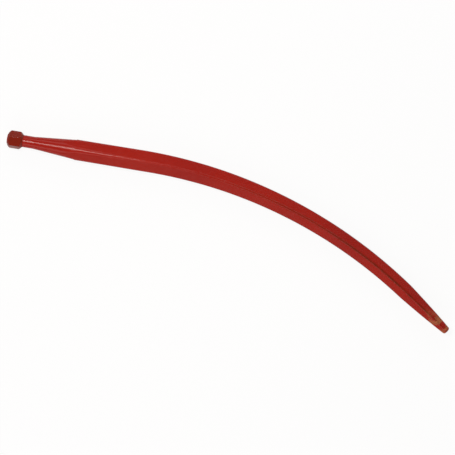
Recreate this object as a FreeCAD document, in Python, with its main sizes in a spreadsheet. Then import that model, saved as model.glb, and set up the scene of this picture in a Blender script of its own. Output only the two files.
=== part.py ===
import FreeCAD, Part
import math
import os
import Sketcher

# Bale spear: one forged steel tine with a turned fixing cone and a threaded stud,
# and the hexagon nut that draws the cone into its socket.
#
# X runs along the shank from the stud to the blade, and X = 0 is the shoulder at the start
# of the cone's neck, where the nut seats. The blade bends towards -Y and stays level in Z.

SIZES = [
    # alias, value in mm or degrees, what it is
    ("stud_diameter", 22.0, "M22 x 1.5 stud, plain at its major diameter"),
    ("stud_overhang", 2.0, "stud end past the nut"),
    ("stud_chamfer", 1.5, "45 degree chamfer on the stud end"),
    ("centre_drill_diameter", 6.0, "lathe centre in the stud end"),
    ("centre_drill_depth", 5.0, "depth of that centre"),
    ("neck_diameter", 24.6, "plain neck, a shoulder on the stud and the small end of the cone"),
    ("neck_length", 22.0, "length of that neck between nut and cone"),
    ("cone_large_diameter", 40.6, "cone where it runs out into the blade"),
    ("cone_length", 86.0, "turned cone"),
    ("runout_length", 1.5, "slope of the lathe tool's run-out behind the cone"),
    ("root_across", 42.0, "blade root across its rounded corners"),
    ("root_corner", 10.0, "corner radius at the root"),
    ("straight_length", 142.5, "straight blade between cone and bend"),
    ("blade_across", 42.8, "blade across its corners where the bend starts"),
    ("blade_corner", 4.0, "corner radius of the bent blade and of the point"),
    ("bend_radius", 1000.0, "radius of the bend on the blade's axis"),
    ("bend_angle", 34.4, "turn of the bend in degrees"),
    ("shoulder_across", 33.0, "blade across its corners where the point starts"),
    ("point_length", 118.0, "forged point"),
    ("belly_station", 45.0, "how far into the point its fuller part is measured"),
    ("belly_across", 27.9, "point across its corners there"),
    ("tip_across", 15.6, "blunt end of the point across its corners"),
    ("tip_corner", 5.0, "corner radius there, nearly round"),
    ("tip_round", 4.0, "rounding of the blunt end"),
    ("nut_across_flats", 32.0, "spanner size"),
    ("nut_turn", 12.0, "how far its corners stand off the plane of the bend, in degrees"),
    ("nut_height", 30.0, "length of the nut on the stud"),
    ("nut_face_diameter", 27.2, "crown circle on the outer face of the nut"),
    ("nut_seat_diameter", 25.0, "crown circle on the seat"),
    ("nut_crown_angle", 45.0, "slope of both crowns in degrees"),
    ("nut_countersink", 0.5, "45 degree countersink at each end of the bore"),
    ("thread_clearance", 0.1, "gap between the plain stud and the plain bore"),
]

START = {alias: value for alias, value, _ in SIZES}    # where a sketch starts before it is solved

CUT_MARGIN = 5.0    # how far a turning profile reaches past the metal that it removes

TURN = "sizes.bend_angle * 1 deg"
STUD_LENGTH = "(sizes.nut_height + sizes.stud_overhang)"
CONE_END = "(sizes.neck_length + sizes.cone_length)"
BEND_START = "(%s + sizes.straight_length)" % CONE_END


def make_sheet(document):
    """Driving dimensions, one row each, under their aliases."""
    sheet = document.addObject("Spreadsheet::Sheet", "sizes")
    for row, (alias, value, note) in enumerate(SIZES, start=1):
        sheet.set("A%d" % row, alias)
        sheet.set("B%d" % row, str(value))
        sheet.set("C%d" % row, note)
        sheet.setAlias("B%d" % row, alias)
    document.recompute()
    return sheet


def make_body(document, label):
    """Empty body whose label names the sub-part and its file."""
    body = document.addObject("PartDesign::Body", label)
    body.Label = label
    body.Placement = FreeCAD.Placement()
    return body


def make_sketch(body, name, role):
    """Sketch on one of the body's own origin planes."""
    plane = [item for item in body.Origin.OriginFeatures if item.Role == role][0]
    sketch = body.newObject("Sketcher::SketchObject", name)
    sketch.AttachmentSupport = [(plane, "")]
    sketch.MapMode = "FlatFace"
    return sketch


def bind(sketch, name, constraint, expression):
    """Dimension of a sketch, tied to the sheet."""
    index = sketch.addConstraint(constraint)
    sketch.renameConstraint(index, name)
    sketch.setExpression("Constraints." + name, expression)


def section_sketch(body, name, across, corner):
    """Rounded square standing on edge, across its corners and with its corner radius."""
    sketch = make_sketch(body, name, "YZ_Plane")
    radius = 5.0
    reach = 12.0
    corners = []
    sides = []
    for turn in range(4):
        middle = turn * math.pi / 2
        centre = FreeCAD.Vector(reach * math.cos(middle), reach * math.sin(middle), 0)
        circle = Part.Circle(centre, FreeCAD.Vector(0, 0, 1), radius)
        arc = Part.ArcOfCircle(circle, middle - math.pi / 4, middle + math.pi / 4)
        corners.append(sketch.addGeometry(arc))
    for turn in range(4):
        slope = (turn + 0.5) * math.pi / 2
        lift = FreeCAD.Vector(math.cos(slope), math.sin(slope), 0) * radius
        ends = []
        for middle in (turn * math.pi / 2, (turn + 1) * math.pi / 2):
            ends.append(FreeCAD.Vector(reach * math.cos(middle), reach * math.sin(middle), 0) + lift)
        sides.append(sketch.addGeometry(Part.LineSegment(ends[0], ends[1])))
    for turn in range(4):
        following = (turn + 1) % 4
        sketch.addConstraint(Sketcher.Constraint("Tangent", corners[turn], 2, sides[turn], 1))
        sketch.addConstraint(Sketcher.Constraint("Tangent", sides[turn], 2, corners[following], 1))
    x_axis = -1
    y_axis = -2
    for turn, axis in enumerate((x_axis, y_axis, x_axis, y_axis)):
        sketch.addConstraint(Sketcher.Constraint("PointOnObject", corners[turn], 3, axis))
    for turn in range(1, 4):
        sketch.addConstraint(Sketcher.Constraint("Equal", corners[0], corners[turn]))
    bind(sketch, "corner", Sketcher.Constraint("Radius", corners[0], radius), "sizes." + corner)
    offset = "sizes.%s / 2 - sizes.%s" % (across, corner)
    for turn in range(4):
        constraint = Sketcher.Constraint("Distance", -1, 1, corners[turn], 3, reach)
        bind(sketch, "reach%d" % turn, constraint, offset)
    return sketch


def place_straight(sketch, along):
    """Station of a section on the straight shank."""
    sketch.setExpression("AttachmentOffset.Base.z", along)


def place_past_bend(sketch, beyond):
    """Station of a section on the straight line that leaves the end of the bend."""
    axis = FreeCAD.Vector(0, 1, 0)
    sketch.AttachmentOffset = FreeCAD.Placement(FreeCAD.Vector(), FreeCAD.Rotation(axis, -30))
    along = BEND_START + " + sizes.bend_radius * sin(%s) + %s * cos(%s)" % (TURN, beyond, TURN)
    aside = "-sizes.bend_radius * (1 - cos(%s)) - %s * sin(%s)" % (TURN, beyond, TURN)
    sketch.setExpression("AttachmentOffset.Base.z", along)
    sketch.setExpression("AttachmentOffset.Base.x", aside)
    sketch.setExpression("AttachmentOffset.Rotation.Angle", "-" + TURN)


def outline_sketch(body, name, outlines):
    """Sketch in the XZ plane with closed outlines of lines whose corners are tied to the sheet.

    A corner is (X expression, X to start from, radius expression, radius to start from).
    """
    sketch = make_sketch(body, name, "XZ_Plane")
    for number, corners in enumerate(outlines):
        places = [FreeCAD.Vector(corner[1], corner[3], 0) for corner in corners]
        lines = []
        for index, place in enumerate(places):
            following = places[(index + 1) % len(places)]
            lines.append(sketch.addGeometry(Part.LineSegment(place, following)))
        for index, line in enumerate(lines):
            following = lines[(index + 1) % len(lines)]
            sketch.addConstraint(Sketcher.Constraint("Coincident", line, 2, following, 1))
        for line, (along, start_along, radius, start_radius) in zip(lines, corners):
            name_of_line = "outline%d_line%d" % (number, line)
            across = Sketcher.Constraint("DistanceX", -1, 1, line, 1, start_along)
            bind(sketch, name_of_line + "_along", across, along)
            up = Sketcher.Constraint("DistanceY", -1, 1, line, 1, start_radius)
            bind(sketch, name_of_line + "_radius", up, radius)
    return sketch


def turn_away(body, name, sketch):
    """Groove all round the X axis."""
    groove = body.newObject("PartDesign::Groove", name)
    groove.Profile = sketch
    groove.ReferenceAxis = (sketch, ["H_Axis"])
    groove.Angle = 360
    return groove


def bend_spine(body):
    """Axis of the bend, an arc in the XY plane that leaves the shank without a kink."""
    sketch = make_sketch(body, "bend_axis", "XY_Plane")
    start = START["neck_length"] + START["cone_length"] + START["straight_length"]
    radius = START["bend_radius"]
    turn = math.radians(START["bend_angle"])
    end = start + radius * math.sin(turn)
    circle = Part.Circle(FreeCAD.Vector(start, -radius, 0), FreeCAD.Vector(0, 0, 1), radius)
    arc = sketch.addGeometry(Part.ArcOfCircle(circle, math.pi / 2 - turn, math.pi / 2))
    bind(sketch, "centre_along", Sketcher.Constraint("DistanceX", -1, 1, arc, 3, start), BEND_START)
    aside = Sketcher.Constraint("DistanceY", -1, 1, arc, 3, -radius)
    bind(sketch, "centre_aside", aside, "-sizes.bend_radius")
    bind(sketch, "radius", Sketcher.Constraint("Radius", arc, radius), "sizes.bend_radius")
    bind(sketch, "start_along", Sketcher.Constraint("DistanceX", -1, 1, arc, 2, start), BEND_START)
    end_along = BEND_START + " + sizes.bend_radius * sin(%s)" % TURN
    bind(sketch, "end_along", Sketcher.Constraint("DistanceX", -1, 1, arc, 1, end), end_along)
    return sketch


def make_tine(document):
    """One forging: square-on-edge blade and point, with the cone and stud turned from its root."""
    body = make_body(document, "tine")

    stud_section = section_sketch(body, "stud_section", "root_across", "root_corner")
    place_straight(stud_section, "-" + STUD_LENGTH)
    blank = body.newObject("PartDesign::Pad", "blank")
    blank.Profile = stud_section
    blank.setExpression("Length", STUD_LENGTH + " + " + CONE_END)

    root_section = section_sketch(body, "root_section", "root_across", "root_corner")
    place_straight(root_section, CONE_END)
    bend_section = section_sketch(body, "bend_section", "blade_across", "blade_corner")
    place_straight(bend_section, BEND_START)
    root = body.newObject("PartDesign::AdditiveLoft", "root")
    root.Profile = root_section
    root.Sections = [bend_section]
    root.Ruled = True

    bend_profile = section_sketch(body, "bend_profile", "blade_across", "blade_corner")
    place_straight(bend_profile, BEND_START)
    shoulder_section = section_sketch(body, "shoulder_section", "shoulder_across", "blade_corner")
    place_past_bend(shoulder_section, "0")
    bend = body.newObject("PartDesign::AdditivePipe", "bend")
    bend.Profile = bend_profile
    bend.Spine = (bend_spine(body), ["Edge1"])
    bend.Sections = [shoulder_section]
    bend.Transformation = "Multisection"

    point_profile = section_sketch(body, "point_profile", "shoulder_across", "blade_corner")
    place_past_bend(point_profile, "0")
    belly_section = section_sketch(body, "belly_section", "belly_across", "blade_corner")
    place_past_bend(belly_section, "sizes.belly_station")
    tip_section = section_sketch(body, "tip_section", "tip_across", "tip_corner")
    place_past_bend(tip_section, "sizes.point_length")
    point = body.newObject("PartDesign::AdditiveLoft", "point")
    point.Profile = point_profile
    point.Sections = [belly_section, tip_section]
    document.recompute()

    end = tip_section.Placement.Base
    faces = point.Shape.Faces
    nearest = min(range(len(faces)), key=lambda index: faces[index].CenterOfMass.distanceToPoint(end))
    blunt_end = body.newObject("PartDesign::Fillet", "blunt_end")
    blunt_end.Base = (point, ["Face%d" % (nearest + 1)])
    blunt_end.setExpression("Radius", "sizes.tip_round")

    stud_radius = "sizes.stud_diameter / 2"
    neck_radius = "sizes.neck_diameter / 2"
    stud_end = "-" + STUD_LENGTH
    beyond = "sizes.root_across / 2 + %g" % CUT_MARGIN
    turned = [
        (stud_end, -32, stud_radius + " - sizes.stud_chamfer", 9),
        (stud_end + " + sizes.stud_chamfer", -30, stud_radius, 11),
        ("0", 0, stud_radius, 11),
        ("0", 0, neck_radius, 12),
        ("sizes.neck_length", 22, neck_radius, 12),
        (CONE_END, 108, "sizes.cone_large_diameter / 2", 20),
        (CONE_END + " + sizes.runout_length", 110, beyond, 25),
        (stud_end + " - %g" % CUT_MARGIN, -37, beyond, 25),
        (stud_end + " - %g" % CUT_MARGIN, -37, stud_radius + " - sizes.stud_chamfer", 9),
    ]
    turn_away(body, "turned_stud_and_cone", outline_sketch(body, "turning_profile", [turned]))

    drill = [
        (stud_end, -32, "0", 0),
        (stud_end + " + sizes.centre_drill_depth", -27, "0", 0),
        (stud_end, -32, "sizes.centre_drill_diameter / 2", 3),
    ]
    turn_away(body, "lathe_centre", outline_sketch(body, "centre_profile", [drill]))
    return body


def make_nut(document):
    """Hexagon nut crowned at both ends, its seat on the shoulder of the cone's neck."""
    body = make_body(document, "nut")
    hexagon = make_sketch(body, "hexagon", "YZ_Plane")
    axis = FreeCAD.Vector(0, 0, 1)
    hexagon.AttachmentOffset = FreeCAD.Placement(FreeCAD.Vector(), FreeCAD.Rotation(axis, 10))
    hexagon.setExpression("AttachmentOffset.Base.z", "-sizes.nut_height")
    hexagon.setExpression("AttachmentOffset.Rotation.Angle", "sizes.nut_turn * 1 deg")
    radius = 17.0
    corners = [FreeCAD.Vector(radius * math.cos(turn * math.pi / 3), radius * math.sin(turn * math.pi / 3), 0)
               for turn in range(6)]
    sides = [hexagon.addGeometry(Part.LineSegment(corners[turn], corners[(turn + 1) % 6]))
             for turn in range(6)]
    around = hexagon.addGeometry(Part.Circle(FreeCAD.Vector(), FreeCAD.Vector(0, 0, 1), radius), True)
    hexagon.addConstraint(Sketcher.Constraint("Coincident", around, 3, -1, 1))
    for turn in range(6):
        following = sides[(turn + 1) % 6]
        hexagon.addConstraint(Sketcher.Constraint("Coincident", sides[turn], 2, following, 1))
        hexagon.addConstraint(Sketcher.Constraint("PointOnObject", sides[turn], 1, around))
    for turn in range(1, 6):
        hexagon.addConstraint(Sketcher.Constraint("Equal", sides[0], sides[turn]))
    hexagon.addConstraint(Sketcher.Constraint("PointOnObject", sides[0], 1, -1))
    reach = "sizes.nut_across_flats / 2 / cos(30 deg)"
    bind(hexagon, "corner_radius", Sketcher.Constraint("Radius", around, radius), reach)
    bar = body.newObject("PartDesign::Pad", "hexagon_bar")
    bar.Profile = hexagon
    bar.setExpression("Length", "sizes.nut_height")

    face_radius = "sizes.nut_face_diameter / 2"
    seat_radius = "sizes.nut_seat_diameter / 2"
    beyond = reach + " + %g" % CUT_MARGIN
    rise = "(%s - %s) * tan(sizes.nut_crown_angle * 1 deg)"
    seat_crown = [
        ("0", 0, seat_radius, 12),
        ("0", 0, beyond, 23),
        ("-" + rise % (beyond, seat_radius), -11, beyond, 23),
    ]
    outer_crown = [
        ("-sizes.nut_height", -30, face_radius, 14),
        ("-sizes.nut_height", -30, beyond, 23),
        ("-sizes.nut_height + " + rise % (beyond, face_radius), -20, beyond, 23),
    ]
    crowns = outline_sketch(body, "crown_profile", [seat_crown, outer_crown])
    turn_away(body, "crowns", crowns)

    bore_radius = "sizes.stud_diameter / 2 + sizes.thread_clearance"
    mouth_radius = bore_radius + " + sizes.nut_countersink"
    bore = [
        ("0", 0, "0", 0),
        ("0", 0, mouth_radius, 11.6),
        ("-sizes.nut_countersink", -0.5, bore_radius, 11.1),
        ("-sizes.nut_height + sizes.nut_countersink", -29.5, bore_radius, 11.1),
        ("-sizes.nut_height", -30, mouth_radius, 11.6),
        ("-sizes.nut_height", -30, "0", 0),
    ]
    turn_away(body, "bore", outline_sketch(body, "bore_profile", [bore]))
    return body


def check_objects(document):
    """Stop before anything is written if a feature failed."""
    for item in document.Objects:
        if "Invalid" in item.State or "Error" in item.State:
            raise RuntimeError("%s failed: %s" % (item.Name, item.State))
        if item.isDerivedFrom("Part::Feature"):
            if item.Shape.isNull() or not item.Shape.isValid():
                raise RuntimeError("%s has no valid shape" % item.Name)


def main():
    """Build the document and write one STEP file for each sub-part."""
    document = FreeCAD.newDocument("bale_spear")
    make_sheet(document)
    bodies = [make_tine(document), make_nut(document)]
    document.recompute()
    check_objects(document)
    os.makedirs("parts", exist_ok=True)
    for body in bodies:
        body.Shape.exportStep("parts/%s.step" % body.Label)
        print("%s: %d solid, %.0f mm3" % (body.Label, len(body.Shape.Solids), body.Shape.Volume))


main()
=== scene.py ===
import math
import bpy
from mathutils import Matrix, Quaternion, Vector, noise


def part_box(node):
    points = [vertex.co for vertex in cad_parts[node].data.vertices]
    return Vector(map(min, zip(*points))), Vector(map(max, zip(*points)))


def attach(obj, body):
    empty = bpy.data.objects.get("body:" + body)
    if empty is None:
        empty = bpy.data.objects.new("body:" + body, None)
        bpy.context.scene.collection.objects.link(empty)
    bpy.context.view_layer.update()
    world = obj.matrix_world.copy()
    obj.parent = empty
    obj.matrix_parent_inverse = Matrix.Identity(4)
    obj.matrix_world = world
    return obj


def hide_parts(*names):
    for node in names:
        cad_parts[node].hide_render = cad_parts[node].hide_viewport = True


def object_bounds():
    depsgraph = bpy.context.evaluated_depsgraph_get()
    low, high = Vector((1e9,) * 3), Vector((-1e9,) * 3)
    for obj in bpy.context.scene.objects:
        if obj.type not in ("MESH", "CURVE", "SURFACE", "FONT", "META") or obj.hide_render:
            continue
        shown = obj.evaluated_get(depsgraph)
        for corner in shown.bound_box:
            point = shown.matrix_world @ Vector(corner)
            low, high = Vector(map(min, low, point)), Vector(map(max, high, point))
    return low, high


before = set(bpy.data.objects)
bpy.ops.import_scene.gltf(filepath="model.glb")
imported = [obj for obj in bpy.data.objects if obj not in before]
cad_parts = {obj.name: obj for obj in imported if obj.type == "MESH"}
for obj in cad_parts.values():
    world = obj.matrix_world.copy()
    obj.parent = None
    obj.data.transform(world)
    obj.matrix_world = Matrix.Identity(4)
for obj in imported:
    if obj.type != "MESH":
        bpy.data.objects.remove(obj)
cad_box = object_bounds()

# ---------------------------------------------------------------------------------------
# Tine. One forging of spring steel: a square bar standing on edge, bent and drawn down to
# a blunt point. Its root is turned to a round cone and a threaded stud, and the whole was
# dipped in gloss red enamel, which is worn brown at the point. From the bend on its ridges
# are darker red, partly thin enamel and partly painted shade.
# ---------------------------------------------------------------------------------------

MM = 0.001
STUD_RADIUS = 11.0 * MM
STUD_END = cad_box[0].x
STUD_CHAMFER = 1.5 * MM
THREAD_PITCH = 1.5 * MM
THREAD_DEPTH = 0.75 * MM
CENTRE_DEPTH = 5.0 * MM
CENTRE_RADIUS = 3.0 * MM
NECK_RADIUS = 12.3 * MM
NECK_LENGTH = 22.0 * MM
CONE_LARGE_RADIUS = 20.3 * MM
CONE_END = NECK_LENGTH + 86.0 * MM
RUNOUT_SLOPE = 3.8
BEND_START = 250.5 * MM
BEND_RADIUS = 1000.0 * MM
BEND_ANGLE = math.radians(34.4)
SHOULDER = BEND_START + BEND_RADIUS * BEND_ANGLE
BELLY = SHOULDER + 45.0 * MM
TIP = SHOULDER + 118.0 * MM
TIP_ROUND = 4.0 * MM
SKIN_DEPTH = 0.12 * MM    # how far the uneven forged skin dips below the true section
BROAD_WAVE = 38.0 * MM
CLOSE_WAVE = 9.0 * MM
NECK_EDGE = 0.3 * MM
EDGE_BLEND = 0.5 * MM     # fillet where a turned face meets a flat
ROOT_START = 1.0 * MM
ROOT_RINGS = 90
RUNOUT_STEP = 0.15 * MM
BLADE_STEP = 2.0 * MM
TIP_STEPS = 10
THREAD_STEPS = 7          # rings to one pitch of the thread
GATHER = 1.6              # how strongly points gather towards the corners

# station along the axis, width across the rounded corners, corner radius
SECTIONS = [
    (CONE_END, 42.0 * MM, 10.0 * MM),
    (BEND_START, 42.8 * MM, 4.0 * MM),
    (SHOULDER, 33.0 * MM, 4.0 * MM),
    (BELLY, 27.9 * MM, 4.0 * MM),
    (TIP, 15.6 * MM, 5.0 * MM),
]


def between(low, high, share):
    return low + (high - low) * share


def smooth_step(low, high, value):
    share = min(max((value - low) / (high - low), 0.0), 1.0)
    return share * share * (3.0 - 2.0 * share)


def soft_min(first, second, blend):
    """The lesser of two lengths, with a fillet of about that size where they cross."""
    share = max(blend - abs(first - second), 0.0) / blend
    return min(first, second) - share * share * blend / 4.0


def axis_at(along):
    """Point on the tine's axis, and the direction square to it in the plane of the bend."""
    turn = min(max((along - BEND_START) / BEND_RADIUS, 0.0), BEND_ANGLE)
    beyond = max(along - SHOULDER, 0.0)
    before = min(along, BEND_START)
    point = Vector((
        before + BEND_RADIUS * math.sin(turn) + beyond * math.cos(turn),
        -BEND_RADIUS * (1.0 - math.cos(turn)) - beyond * math.sin(turn),
        0.0))
    return point, Vector((math.sin(turn), math.cos(turn), 0.0))


def polygon_radius(sides, inner, corner, angle):
    """Distance from the middle of a polygon with rounded corners to its edge.

    The angle is counted from a corner, inner is the radius of the circle that touches the
    sides, and corner is the radius of the corners.
    """
    half = math.pi / sides
    angle = abs((angle + half) % (2.0 * half) - half)
    reach = (inner - corner) / math.cos(half)
    tangent = math.atan2(corner * math.sin(half), reach + corner * math.cos(half))
    if angle < tangent:
        return reach * math.cos(angle) + math.sqrt(corner ** 2 - (reach * math.sin(angle)) ** 2)
    return inner / math.cos(half - angle)


def fair_curve(rows, column, along):
    """Value at a station on the smooth curve through a column of the rows."""
    value = 0.0
    for row in rows:
        weight = 1.0
        for other in rows:
            if other is not row:
                weight *= (along - other[0]) / (row[0] - other[0])
        value += weight * row[column]
    return value


def section_at(along):
    """Inner and corner radius of the square, straight along the blade and full at the point."""
    along = min(max(along, CONE_END), TIP)
    if along < BEND_START:
        rows = SECTIONS[0:2]
    elif along < SHOULDER:
        rows = SECTIONS[1:3]
    else:
        rows = SECTIONS[2:5]
    across = fair_curve(rows, 1, along)
    corner = fair_curve(rows, 2, along)
    return (across / 2.0 - corner) * math.cos(math.pi / 4.0) + corner, corner


def corner_angles(sides, steps, gather):
    """Angles all round a polygon, gathered towards its corners."""
    half = math.pi / sides
    fan = [half * (step / steps) ** gather for step in range(steps + 1)]
    whole = [-angle for angle in reversed(fan[1:])] + fan[:-1]
    return [corner * 2.0 * half + angle for corner in range(sides) for angle in whole]


TINE_ANGLES = corner_angles(4, 12, GATHER)


def closed_tube(name, rings):
    """Mesh of quads between rings of equal length, with the first and last ring closed."""
    count = len(rings[0])
    vertices = [point for ring in rings for point in ring]
    faces = []
    for row in range(len(rings) - 1):
        for column in range(count):
            following = (column + 1) % count
            here, there = row * count, (row + 1) * count
            faces.append((here + column, there + column, there + following, here + following))
    for row, turned in ((0, False), (len(rings) - 1, True)):
        middle = len(vertices)
        vertices.append(sum(rings[row], Vector()) / count)
        for column in range(count):
            pair = (row * count + column, row * count + (column + 1) % count)
            faces.append((middle, *(reversed(pair) if turned else pair)))
    made = bpy.data.meshes.new(name)
    made.from_pydata(vertices, [], faces)
    made.polygons.foreach_set("use_smooth", [True] * len(made.polygons))
    made.update()
    return made


def forged_dip(place):
    """Shallow unevenness that the hammer and the dies leave, never above the true section."""
    broad = noise.noise(place / BROAD_WAVE)
    close = noise.noise(place / CLOSE_WAVE)
    return SKIN_DEPTH * (0.55 - 0.33 * broad - 0.12 * close)


def turned_radius(along):
    """Radius that the lathe left on the neck and the cone, and a steep run-out behind them."""
    share = max(along - NECK_LENGTH, 0.0) / (CONE_END - NECK_LENGTH)
    radius = between(NECK_RADIUS, CONE_LARGE_RADIUS, share)
    return radius + max(along - CONE_END, 0.0) * RUNOUT_SLOPE


def stud_radius(along, angle):
    """M22 x 1.5 thread up to the nut's seat, with a chamfered start."""
    phase = ((along / THREAD_PITCH) + angle / (2.0 * math.pi)) % 1.0
    groove = max(0.0, 1.0 - abs(phase - 0.5) * 2.6)
    radius = STUD_RADIUS - THREAD_DEPTH * groove
    return min(radius, STUD_RADIUS - STUD_CHAMFER + (along - STUD_END))


def tine_rings():
    """Rings of points from the stud's lathe centre to the blunt end, with their stations."""
    rings = []

    def ring(along, radius_at, uneven=0.0):
        point, side = axis_at(along)
        made = []
        for angle in TINE_ANGLES:
            outward = side * math.cos(angle) + Vector((0.0, 0.0, math.sin(angle)))
            radius = radius_at(angle)
            if uneven:
                radius -= uneven * forged_dip(point + outward * radius)
            made.append(point + outward * radius)
        rings.append((along, made))

    for step in range(1, 5):
        share = step / 4.0
        ring(STUD_END + CENTRE_DEPTH * (1.0 - share), lambda angle: CENTRE_RADIUS * share)
    for share in (0.06, 0.5, 0.94, 1.0):
        face = between(CENTRE_RADIUS, STUD_RADIUS - STUD_CHAMFER, share)
        ring(STUD_END, lambda angle: face)
    thread_steps = round(-STUD_END / THREAD_PITCH * THREAD_STEPS)
    for step in range(1, thread_steps):
        along = STUD_END * (1.0 - step / thread_steps)
        ring(along, lambda angle: stud_radius(along, angle))
    ring(0.0, lambda angle: STUD_RADIUS - THREAD_DEPTH)
    ring(0.0, lambda angle: NECK_RADIUS - NECK_EDGE)
    ring(NECK_EDGE, lambda angle: NECK_RADIUS)

    def root_radius(along, angle):
        square = polygon_radius(4, *section_at(along), angle)
        return soft_min(square, turned_radius(along), EDGE_BLEND)

    stations = [ROOT_START + CONE_END * step / ROOT_RINGS for step in range(ROOT_RINGS - 1)]
    stations += [CONE_END + RUNOUT_STEP * step for step in range(-6, 14)]
    along = stations[-1]
    while along < TIP - TIP_ROUND - BLADE_STEP:
        along += BLADE_STEP
        stations.append(along)
    for along in stations:
        uneven = smooth_step(NECK_LENGTH, CONE_END, along)
        ring(along, lambda angle: root_radius(along, angle), uneven)

    for step in range(TIP_STEPS + 1):
        lean = math.pi / 2.0 * step / TIP_STEPS
        inset = TIP_ROUND * (1.0 - math.cos(lean))
        along = TIP - TIP_ROUND * (1.0 - math.sin(lean))
        inner, corner = section_at(along)
        ring(along, lambda angle: polygon_radius(4, inner - inset, corner - inset, angle), 1.0)
    end_inner, end_corner = (size - TIP_ROUND for size in section_at(TIP))
    for share in (0.7, 0.35):
        ring(TIP, lambda angle: polygon_radius(4, end_inner * share, end_corner * share, angle))
    return rings


rings = tine_rings()
mesh = closed_tube("tine_forging", [ring for _, ring in rings])
tine = bpy.data.objects.new("tine_forging", mesh)
bpy.context.collection.objects.link(tine)
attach(tine, "root")
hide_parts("tine")

# where a point lies along the axis, and how near it is to a ridge of the square bar
ring_size = len(rings[0][1])
ridge_nearness = [1.0 - abs((angle + math.pi / 4) % (math.pi / 2) - math.pi / 4) / (math.pi / 4)
                  for angle in TINE_ANGLES]
along_values = [along for along, _ in rings for _ in range(ring_size)] + [STUD_END, TIP]
ridge_values = ridge_nearness * len(rings) + [0.0, 0.0]
mesh.attributes.new("along", "FLOAT", "POINT").data.foreach_set("value", along_values)
mesh.attributes.new("ridge", "FLOAT", "POINT").data.foreach_set("value", ridge_values)


class Value:
    """A shader socket that Python's operators work on."""

    def __init__(self, material, node, output):
        self.material = material
        self.node = node
        self.socket = node.outputs[output]

    def maths(self, operation, first, second):
        return self.material.node("ShaderNodeMath", {"operation": operation}, {0: first, 1: second})

    def __add__(self, other):
        return self.maths("ADD", self, other)

    def __radd__(self, other):
        return self.maths("ADD", other, self)

    def __sub__(self, other):
        return self.maths("SUBTRACT", self, other)

    def __rsub__(self, other):
        return self.maths("SUBTRACT", other, self)

    def __mul__(self, other):
        return self.maths("MULTIPLY", self, other)

    def __rmul__(self, other):
        return self.maths("MULTIPLY", other, self)

    def between(self, low, high):
        """0 below low and 1 above high, smooth from one to the other."""
        settings = {"interpolation_type": "SMOOTHSTEP"}
        inputs = {"Value": self, "From Min": low, "From Max": high}
        return self.material.node("ShaderNodeMapRange", settings, inputs)


class Material:
    """A material of nodes round one Principled shader."""

    def __init__(self, name):
        self.data = bpy.data.materials.new(name)
        self.data.use_nodes = True
        self.tree = self.data.node_tree
        self.shader = self.tree.nodes["Principled BSDF"]

    def feed(self, socket, value):
        if isinstance(value, Value):
            self.tree.links.new(value.socket, socket)
        else:
            socket.default_value = value

    def node(self, kind, settings, inputs, output=0):
        made = self.tree.nodes.new(kind)
        for key, value in settings.items():
            setattr(made, key, value)
        for key, value in inputs.items():
            self.feed(made.inputs[key], value)
        return Value(self, made, output)

    def shade(self, **values):
        for key, value in values.items():
            self.feed(self.shader.inputs[key.replace("_", " ")], value)

    def attribute(self, name):
        return self.node("ShaderNodeAttribute", {"attribute_name": name}, {}, "Fac")

    def noise(self, scale, detail=3.0, stretch=None):
        place = self.node("ShaderNodeNewGeometry", {}, {}, "Position")
        if stretch:
            place = self.node("ShaderNodeVectorMath", {"operation": "MULTIPLY"}, {0: place, 1: stretch})
        return self.node("ShaderNodeTexNoise", {}, {"Vector": place, "Scale": scale, "Detail": detail})

    def mix(self, share, first, second):
        inputs = {0: share, 6: first, 7: second}
        return self.node("ShaderNodeMix", {"data_type": "RGBA"}, inputs, "Result")

    def bump(self, height, distance):
        return self.node("ShaderNodeBump", {}, {"Height": height, "Distance": distance})


DEEP_RED = (0.285, 0.0070, 0.0025, 1.0)
BRIGHT_RED = (0.320, 0.0095, 0.0030, 1.0)
# darker red, for thin enamel and for painted shade along the blade's ridges
THIN_AND_SHADED_RED = (0.140, 0.0110, 0.0020, 1.0)
DARK_STEEL = (0.210, 0.0750, 0.0300, 1.0)
BROWN_STEEL = (0.420, 0.1400, 0.0500, 1.0)


def enamel(material, thin_and_shade, worn):
    """Gloss red enamel over steel: the first mask darkens the red, for thin enamel and for painted
    shade, and worn shows the brown steel.
    """
    cloud = material.noise(7.0, 4.0)
    grain = material.noise(420.0, 2.0)
    sag = material.noise(34.0, 3.0)
    paint = material.mix(cloud.between(0.3, 0.7), DEEP_RED, BRIGHT_RED)
    paint = material.mix(thin_and_shade, paint, THIN_AND_SHADED_RED)
    steel = material.mix(grain.between(0.35, 0.65), DARK_STEEL, BROWN_STEEL)
    material.shade(
        Base_Color=material.mix(worn, paint, steel),
        Roughness=0.14 + 0.08 * sag + 0.30 * worn,
        Normal=material.bump(sag * 0.8 + grain * 0.06 - worn * 0.15, 0.5 * MM),
        Specular_IOR_Level=0.2,
    )
    return material.data


tine_paint = Material("tine_enamel")
along = tine_paint.attribute("along")
ridge = tine_paint.attribute("ridge")
patchy = tine_paint.noise(60.0, 4.0)
# painted shade: from the bend to the point the ridges of the square are painted darker red, partly thin
# enamel and partly shade
ridge_shade_line = ridge.between(0.72, 0.92) * along.between(BEND_START, SHOULDER)
thin_paint_and_shade = ridge_shade_line * (0.55 + 0.45 * patchy.between(0.3, 0.6))
worn_point = along.between(TIP - 75.0 * MM, TIP - 10.0 * MM) * patchy.between(0.44, 0.60)
mesh.materials.append(enamel(tine_paint, thin_paint_and_shade, worn_point))

# ---------------------------------------------------------------------------------------
# Nut. A long hexagon nut, crowned on the lathe at both ends and screwed up to the neck of
# the cone before the dip, so the same enamel lies over it, thinner and darker.
# ---------------------------------------------------------------------------------------

nut_low, nut_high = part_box("nut")
NUT_INNER = 16.0 * MM
NUT_EDGE = 0.6 * MM
NUT_TURN = math.radians(12.0)
NUT_FACE_RADIUS = 13.6 * MM
NUT_SEAT_RADIUS = 12.5 * MM
BORE_RADIUS = 11.1 * MM
COUNTERSINK = 0.5 * MM
CROWN_STEP = 0.35 * MM


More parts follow.
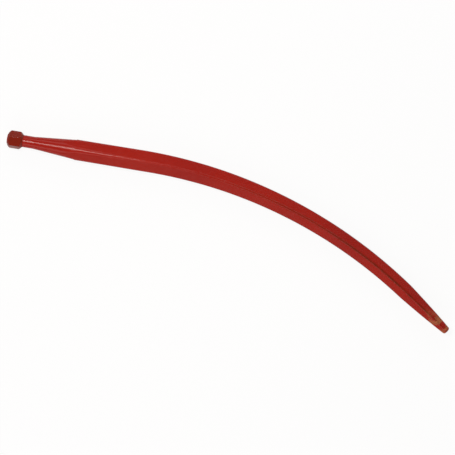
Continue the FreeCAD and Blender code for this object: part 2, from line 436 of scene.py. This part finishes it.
def nut_rings():
    """Rings round the hexagon, over its outer end, through the bore and back."""
    angles = corner_angles(6, 10, GATHER)
    height = nut_high.x - nut_low.x
    depths = [0.0, 0.08 * MM, 0.2 * MM] + [CROWN_STEP * step for step in range(1, 22)]
    depths += [height / 2.0] + [height - depth for depth in reversed(depths)]
    rings = []

    def ring(x, radius_at):
        points = []
        for angle in angles:
            outward = Vector((0.0, math.cos(angle + NUT_TURN), math.sin(angle + NUT_TURN)))
            points.append(Vector((x, 0.0, 0.0)) + outward * radius_at(angle))
        rings.append(points)

    def outside(depth, angle):
        crown = min(NUT_SEAT_RADIUS + depth, NUT_FACE_RADIUS + height - depth)
        hexagon = polygon_radius(6, NUT_INNER, NUT_EDGE, angle)
        return soft_min(hexagon, crown, EDGE_BLEND)

    for depth in depths:
        ring(nut_high.x - depth, lambda angle: outside(depth, angle))
    mouth = BORE_RADIUS + COUNTERSINK
    for share in (0.1, 0.5, 1.0):
        ring(nut_low.x, lambda angle: between(NUT_FACE_RADIUS, mouth, share))
    ring(nut_low.x + COUNTERSINK, lambda angle: BORE_RADIUS)
    ring(nut_high.x - COUNTERSINK, lambda angle: BORE_RADIUS)
    for share in (0.0, 0.5, 0.9):
        ring(nut_high.x, lambda angle: between(mouth, NUT_SEAT_RADIUS, share))
    return rings


def closed_ring(name, rings):
    """Mesh of quads between rings, the last joined to the first."""
    count = len(rings[0])
    vertices = [point for ring in rings for point in ring]
    faces = []
    for row in range(len(rings)):
        here, there = row * count, (row + 1) % len(rings) * count
        for column in range(count):
            following = (column + 1) % count
            faces.append((here + column, here + following, there + following, there + column))
    made = bpy.data.meshes.new(name)
    made.from_pydata(vertices, [], faces)
    made.polygons.foreach_set("use_smooth", [True] * len(made.polygons))
    made.update()
    return made


nut_mesh = closed_ring("hexagon_nut", nut_rings())
nut = bpy.data.objects.new("hexagon_nut", nut_mesh)
bpy.context.collection.objects.link(nut)
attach(nut, "root")
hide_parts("nut")
nut_paint = Material("nut_enamel")
nut_patches = nut_paint.noise(150.0, 4.0)
nut_thin = 0.62 + 0.3 * nut_patches
nut_mesh.materials.append(enamel(nut_paint, nut_thin, nut_patches.between(0.70, 0.80)))

# ---------------------------------------------------------------------------------------
# Floor, sky and lamps. A white sweep, a long soft box low on each side, and one overhead
# by the nut that shines on the cone. Above the blade there is only the plain grey sky.
# ---------------------------------------------------------------------------------------

REACH = 8.0
WARM_WHITE = (1.0, 0.93, 0.88)
floor_mesh = bpy.data.meshes.new("floor")
corners = [(-REACH, -REACH), (REACH, -REACH), (REACH, REACH), (-REACH, REACH)]
floor_mesh.from_pydata([(x, y, cad_box[0].z) for x, y in corners], [], [(0, 1, 2, 3)])
floor = bpy.data.objects.new("floor", floor_mesh)
bpy.context.collection.objects.link(floor)

white_sweep = Material("white_sweep")
white_sweep.shade(Base_Color=(0.80, 0.80, 0.80, 1.0), Roughness=0.9, Specular_IOR_Level=0.0)
camera_ray = white_sweep.node("ShaderNodeLightPath", {}, {}, "Is Camera Ray")
glow = white_sweep.node("ShaderNodeEmission", {}, {"Color": (1.0, 1.0, 1.0, 1.0), "Strength": 1.0})
paper = Value(white_sweep, white_sweep.shader, "BSDF")
sweep = white_sweep.node("ShaderNodeMixShader", {}, {0: camera_ray * 0.9, 1: paper, 2: glow})
white_sweep.feed(white_sweep.tree.nodes["Material Output"].inputs["Surface"], sweep)
floor_mesh.materials.append(white_sweep.data)

world = bpy.data.worlds.new("studio")
bpy.context.scene.world = world
world.use_nodes = True
world.node_tree.nodes["Background"].inputs["Color"].default_value = (1.0, 1.0, 1.0, 1.0)
world.node_tree.nodes["Background"].inputs["Strength"].default_value = 0.3


def soft_box(name, place, target, width, height, power):
    """Area lamp at place that looks at target."""
    lamp = bpy.data.lights.new(name, "AREA")
    lamp.shape = "RECTANGLE"
    lamp.size = width
    lamp.size_y = height
    lamp.energy = power
    lamp.color = WARM_WHITE
    made = bpy.data.objects.new(name, lamp)
    bpy.context.collection.objects.link(made)
    made.location = place
    made.rotation_mode = "QUATERNION"
    made.rotation_quaternion = (Vector(target) - Vector(place)).to_track_quat("-Z", "Y")


middle = (Vector(cad_box[0]) + Vector(cad_box[1])) / 2
soft_box("far_box", middle + Vector((0.0, 2.2, 1.25)), middle, 3.2, 1.1, 22.0)
soft_box("near_box", middle + Vector((0.0, -2.2, 1.4)), middle, 3.2, 1.6, 30.0)
soft_box("cone_box", (-0.27, 0.35, 2.5), (0.1, 0.0, 0.0), 0.95, 0.65, 40.0)

# ---------------------------------------------------------------------------------------
# Camera. It looks down on the spear as it lies, from far off through a long lens, turned
# so that the shank runs down to the right.
# ---------------------------------------------------------------------------------------

DISTANCE = 5.0
TILT = math.radians(-3.0)
ROLL = math.radians(9.38)
FRAME_WIDTH = 0.9238
camera = bpy.data.objects.new("camera", bpy.data.cameras.new("camera"))
bpy.context.collection.objects.link(camera)
bpy.context.scene.camera = camera
camera.data.sensor_width = 36.0
camera.data.lens = camera.data.sensor_width * DISTANCE / FRAME_WIDTH
camera.data.clip_end = 50.0
camera.rotation_mode = "QUATERNION"
camera.rotation_quaternion = Quaternion((1.0, 0.0, 0.0), TILT) @ Quaternion((0.0, 0.0, 1.0), ROLL)
back = camera.rotation_quaternion @ Vector((0.0, 0.0, 1.0))
camera.location = Vector((0.4379, -0.1056, 0.0)) + back * DISTANCE

bpy.context.scene.view_settings.view_transform = "Standard"
